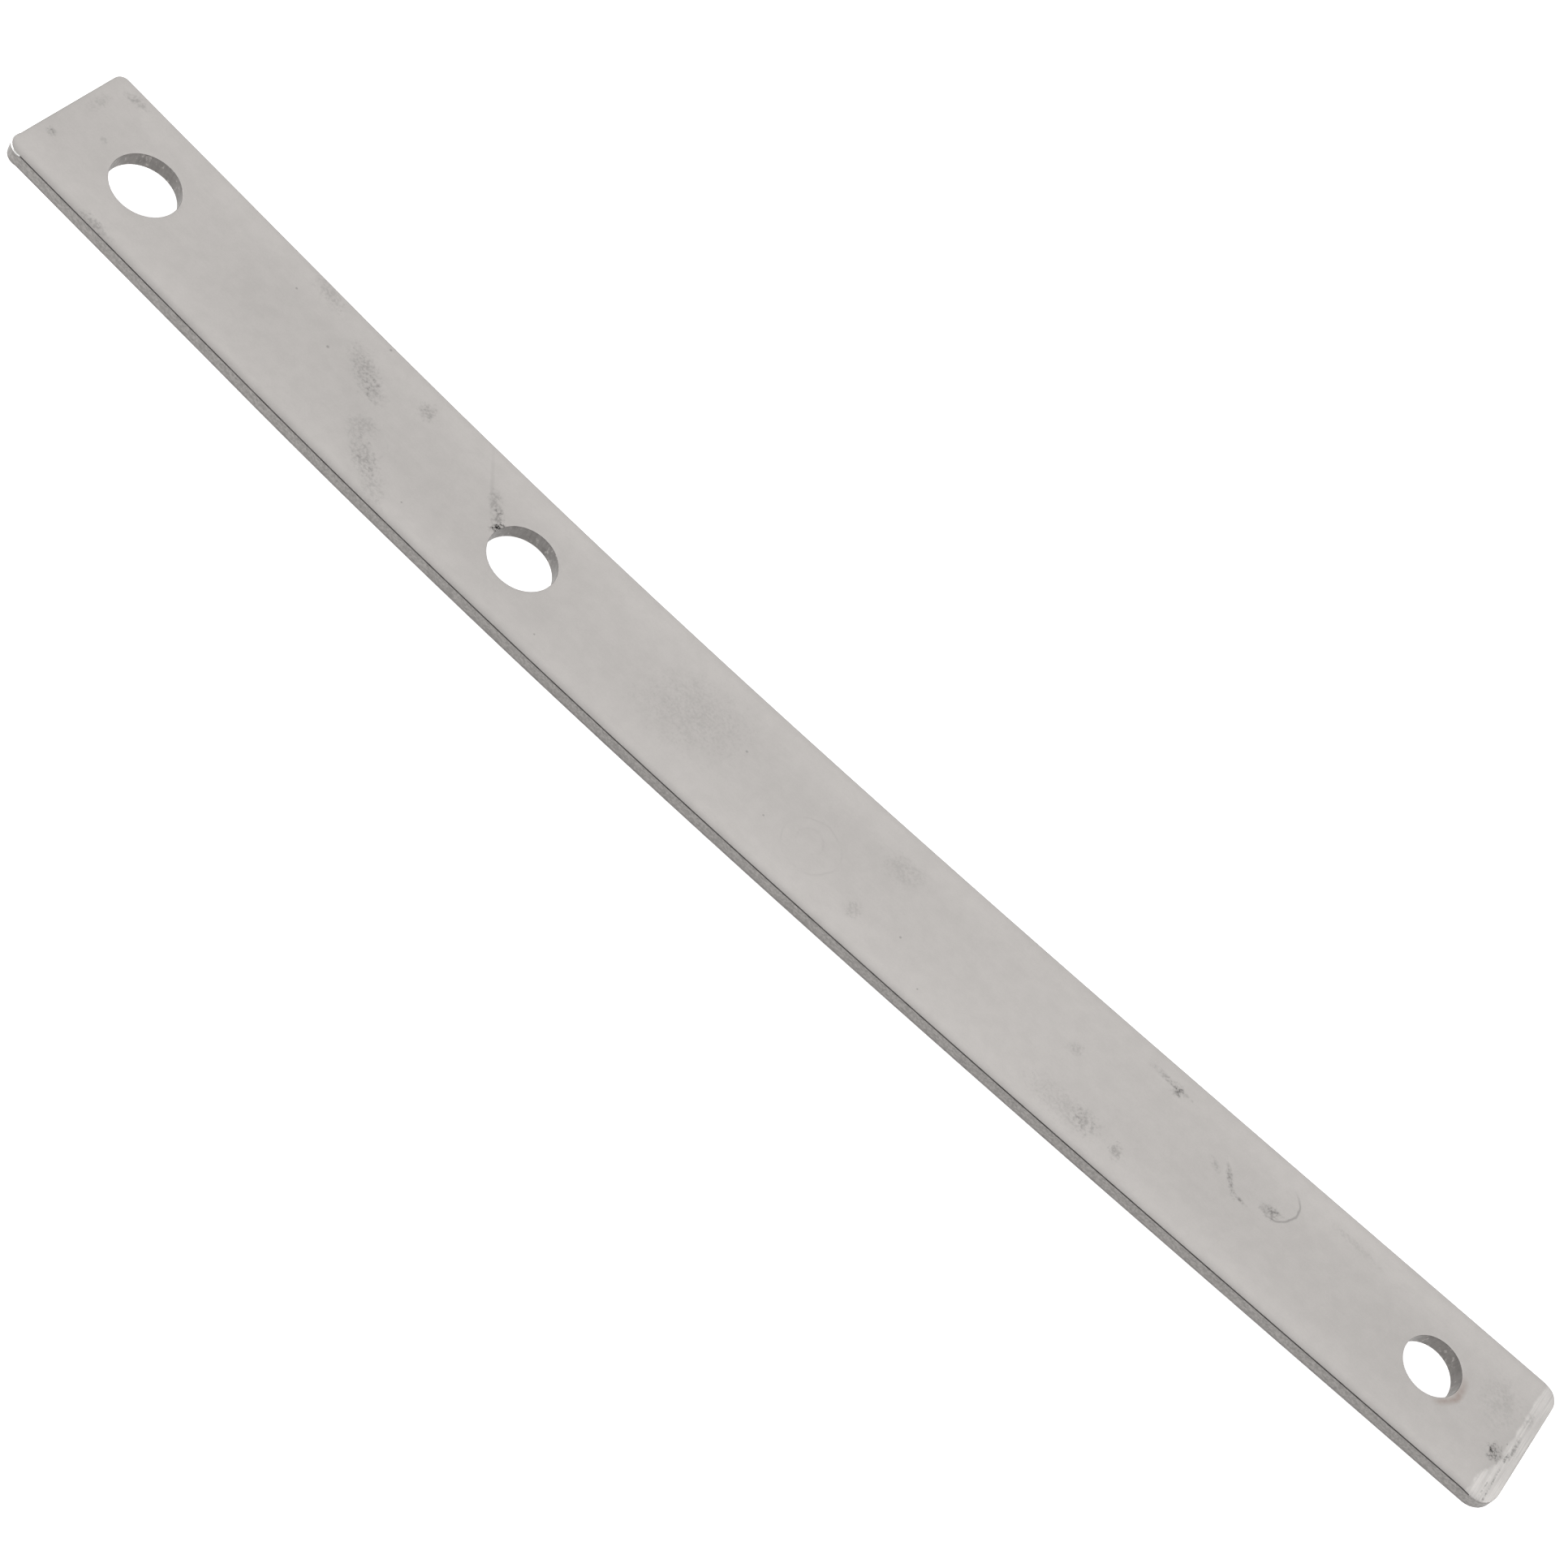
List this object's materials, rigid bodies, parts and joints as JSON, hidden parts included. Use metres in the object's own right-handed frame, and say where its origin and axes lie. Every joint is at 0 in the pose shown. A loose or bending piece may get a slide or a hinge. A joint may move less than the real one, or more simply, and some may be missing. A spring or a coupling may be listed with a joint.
{
  "type": "knife magnetic rack",
  "caption": "Slim steel bar knife rack, slightly bowed, with round screw holes and flat magnets in covered pockets in its back.",
  "frame": {"origin": "under the middle of the bar, level with the lowest line of its bowed back", "axes": "+X along the bar from the end with the two large holes to the end with the small one, +Y across the bar, +Z out of the knife face"},
  "size_m": [0.3004, 0.0254, 0.0098],
  "materials": {
    "satin_steel": "satin, lightly smudged, with a ground end",
    "nickel_plate": "dull bright nickel plating",
    "mild_steel": "cold rolled, oiled",
    "cover_sheet": "rolled sheet, fine lengthwise grain",
    "carrier_plastic": "moulded, matt black"
  },
  "bodies": {
    "root": {"face_bar": "satin_steel", "magnet_01": "nickel_plate", "magnet_02": "nickel_plate", "magnet_03": "nickel_plate", "magnet_carrier_left": "carrier_plastic", "keeper_strip_left": "mild_steel", "back_cover_left": "cover_sheet", "magnet_04": "nickel_plate", "magnet_05": "nickel_plate", "magnet_06": "nickel_plate", "magnet_07": "nickel_plate", "magnet_carrier_middle": "carrier_plastic", "keeper_strip_middle": "mild_steel", "back_cover_middle": "cover_sheet", "magnet_08": "nickel_plate", "magnet_09": "nickel_plate", "magnet_10": "nickel_plate", "magnet_11": "nickel_plate", "magnet_carrier_right": "carrier_plastic", "keeper_strip_right": "mild_steel", "back_cover_right": "cover_sheet"}
  },
  "joints": []
}
